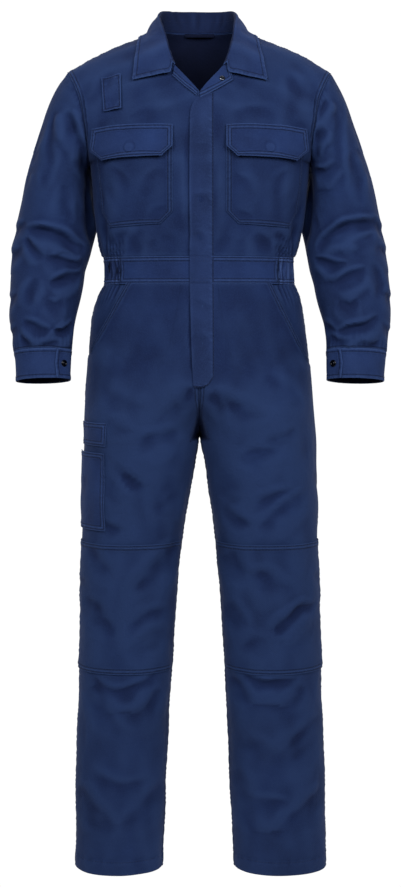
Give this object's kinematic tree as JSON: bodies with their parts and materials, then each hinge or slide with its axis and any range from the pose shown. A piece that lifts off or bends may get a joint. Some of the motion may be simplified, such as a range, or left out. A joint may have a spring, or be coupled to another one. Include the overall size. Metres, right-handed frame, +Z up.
{
  "type": "boiler suit",
  "caption": "Long-sleeved work coverall in navy twill, open at the collar, with chest, hip and thigh pockets, knee patches and a part-elasticated waist, filled out as worn.",
  "frame": {"origin": "midway between the wearer's shoulders, at the height of the shoulder seams' inner ends less 20 mm, where the wearer's shoulders hold the suit up", "axes": "+Z up along the standing wearer, front of the suit at -Y, the wearer's left at +X"},
  "size_m": [0.6986, 0.2713, 1.591],
  "materials": {
    "navy_twill": "matt twill weave",
    "loop_tape": "matt woven tape",
    "dark_snap": "satin black",
    "steel_snap": "satin"
  },
  "bodies": {
    "root": {"bodice_back": "navy_twill", "bodice_front_left": "navy_twill", "bodice_front_right": "navy_twill", "chest_pocket_left": "navy_twill", "chest_pocket_right": "navy_twill", "collar": "navy_twill", "cuff_left": "navy_twill", "cuff_right": "navy_twill", "cuff_snap_left": "dark_snap", "cuff_snap_right": "dark_snap", "hanger_loop": "loop_tape", "hip_pocket_facing_left": "navy_twill", "hip_pocket_facing_right": "navy_twill", "knee_patch_left": "navy_twill", "knee_patch_right": "navy_twill", "lapel_left": "navy_twill", "lapel_right": "navy_twill", "lapel_snap": "steel_snap", "leg_back_left": "navy_twill", "leg_back_right": "navy_twill", "leg_front_left": "navy_twill", "leg_front_right": "navy_twill", "placket": "navy_twill", "pocket_flap_left": "navy_twill", "pocket_flap_right": "navy_twill", "radio_loop": "navy_twill", "ruler_pocket": "navy_twill", "sleeve_left": "navy_twill", "sleeve_right": "navy_twill", "tool_pocket_upper": "navy_twill", "waist_elastic_left": "navy_twill", "waist_elastic_right": "navy_twill", "waistband_back": "navy_twill", "waistband_front_left": "navy_twill", "waistband_front_right": "navy_twill"}
  },
  "joints": []
}
